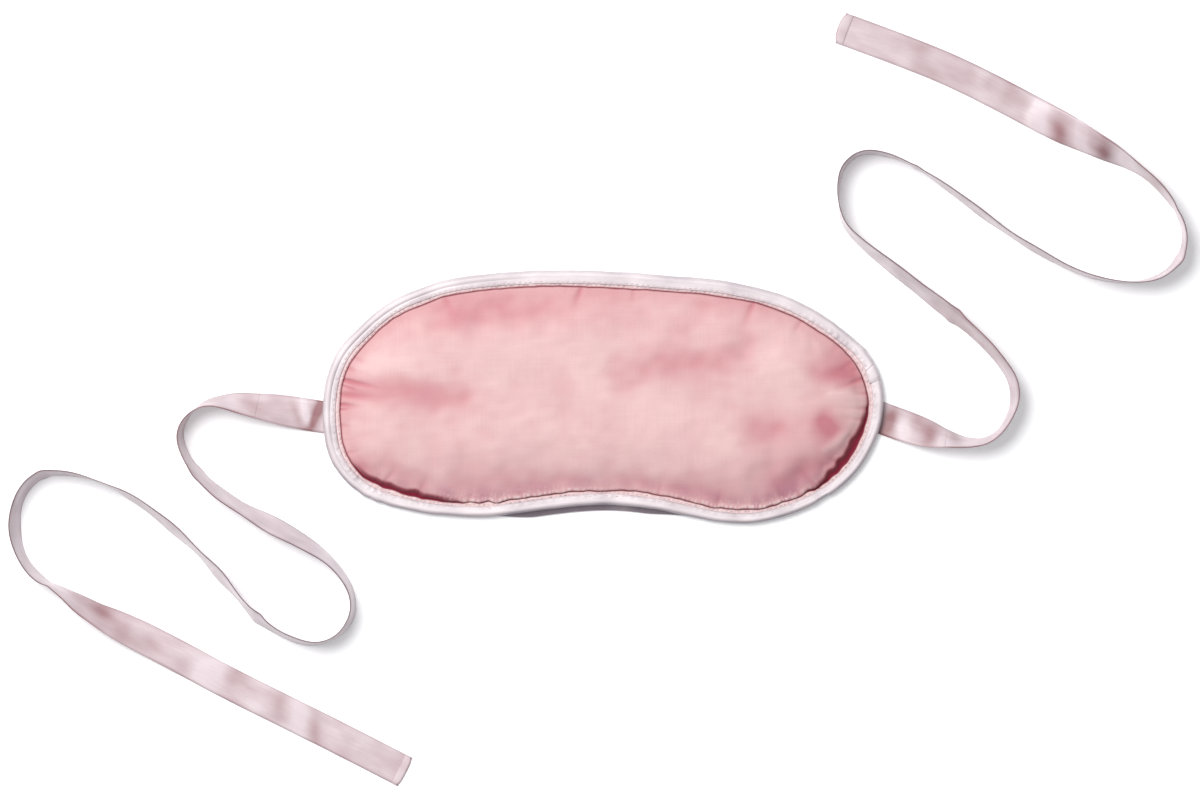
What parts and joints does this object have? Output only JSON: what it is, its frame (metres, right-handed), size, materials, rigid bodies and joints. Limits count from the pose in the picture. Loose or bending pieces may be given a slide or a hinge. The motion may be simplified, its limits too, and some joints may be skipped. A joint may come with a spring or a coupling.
{
  "type": "sleep eye mask",
  "caption": "Padded sleep eye mask with a puffed cloth front, satin edge binding and two loose satin ribbon ties that are knotted behind the head.",
  "frame": {"origin": "under the middle of the mask, on the surface it lies on", "axes": "+X along the mask, +Y to the brow edge, +Z out of the front face"},
  "size_m": [0.4431, 0.2907, 0.0121],
  "materials": {
    "cover_silk": "soft matte plain-weave silk and cotton, padded and lightly puckered",
    "lining_cotton": "soft matte plain-weave cotton",
    "blackout_cloth": "dense matte dark cloth",
    "wadding": "loose matte polyester wadding",
    "binding_satin": "soft sheen satin bias tape",
    "ribbon_satin": "soft sheen single-face satin ribbon",
    "thread": "twisted sewing thread"
  },
  "bodies": {
    "left_half": {"left_back_lining": "lining_cotton", "left_blackout_layer": "blackout_cloth", "left_padding": "wadding", "left_front_cover": "cover_silk", "left_edge_binding": "binding_satin", "left_front_stitches": "thread", "left_back_stitches": "thread", "left_flange_stitches": "thread", "left_tie_tab": "ribbon_satin", "left_bar_tack": "thread"},
    "right_half": {"right_back_lining": "lining_cotton", "right_blackout_layer": "blackout_cloth", "right_padding": "wadding", "right_front_cover": "cover_silk", "right_edge_binding": "binding_satin", "right_front_stitches": "thread", "right_back_stitches": "thread", "right_flange_stitches": "thread", "right_tie_tab": "ribbon_satin", "right_bar_tack": "thread", "binding_join": "binding_satin"},
    "left_tie": {"left_tie_ribbon": "ribbon_satin", "left_tie_end_hem": "ribbon_satin"},
    "right_tie": {"right_tie_ribbon": "ribbon_satin", "right_tie_end_hem": "ribbon_satin"}
  },
  "joints": [
    {"name": "nose_fold", "type": "hinge", "parent": "left_half", "child": "right_half", "pos_m": [0, 0, 0.0103], "axis": [0, -1, 0], "range_deg": [0, 170]},
    {"name": "left_tie_fold", "type": "hinge", "parent": "left_half", "child": "left_tie", "pos_m": [-0.108, -0.0072, 0.0112], "axis": [0, -1, 0], "range_deg": [-180, 0], "deforming": ["left_tie_ribbon", "left_tie_end_hem"]},
    {"name": "right_tie_fold", "type": "hinge", "parent": "right_half", "child": "right_tie", "pos_m": [0.108, -0.0088, 0.0112], "axis": [0, 1, 0], "range_deg": [-180, 0], "deforming": ["right_tie_ribbon", "right_tie_end_hem"]}
  ]
}
